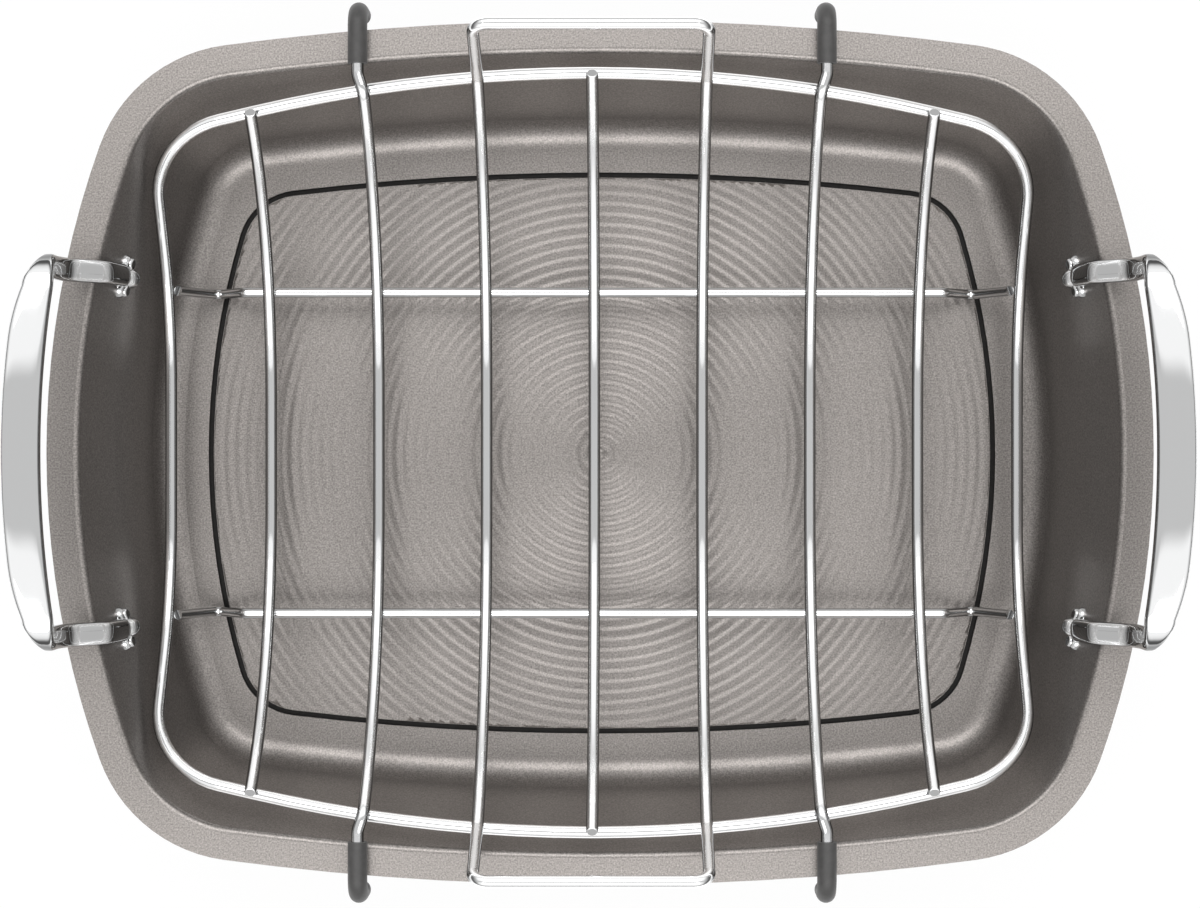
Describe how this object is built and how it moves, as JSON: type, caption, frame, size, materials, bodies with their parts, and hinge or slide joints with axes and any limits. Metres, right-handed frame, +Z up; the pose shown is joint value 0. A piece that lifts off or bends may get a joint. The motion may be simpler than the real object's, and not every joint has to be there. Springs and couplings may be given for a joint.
{
  "type": "roasting pan with rack",
  "caption": "Deep rectangular roasting pan with bowed sides, riveted bridge handles and a lift-out U-shaped wire rack that hangs on the rim.",
  "frame": {"origin": "middle of the pan at the level of the surface it stands on, below the middle of the bounding box", "axes": "+X along the long side towards the right handle, +Y towards the rear long rim, +Z up"},
  "size_m": [0.444, 0.352, 0.126],
  "materials": {
    "nonstick_grey": "satin metallic non-stick coating, warm grey",
    "polished_chrome": "mirror polished cast handles and rivets",
    "chromed_wire": "bright chromed wire",
    "silicone_grey": "matt dark grey silicone"
  },
  "bodies": {
    "pan": {"pan_shell": "nonstick_grey", "left_handle": "polished_chrome", "right_handle": "polished_chrome", "left_front_rivets": "polished_chrome", "left_rear_rivets": "polished_chrome", "right_front_rivets": "polished_chrome", "right_rear_rivets": "polished_chrome"},
    "rack": {"rack_frame": "chromed_wire", "crossbar_left": "chromed_wire", "crossbar_centre": "chromed_wire", "crossbar_right": "chromed_wire", "hook_bar_left": "chromed_wire", "hook_bar_right": "chromed_wire", "lifting_loop": "chromed_wire", "front_rail": "chromed_wire", "rear_rail": "chromed_wire", "hook_sleeve_left_front": "silicone_grey", "hook_sleeve_left_rear": "silicone_grey", "hook_sleeve_right_front": "silicone_grey", "hook_sleeve_right_rear": "silicone_grey"}
  },
  "joints": [
    {"name": "rack_lift", "type": "slide", "parent": "pan", "child": "rack", "axis": [0, 0, 1], "range_m": [0, 0.15]}
  ]
}
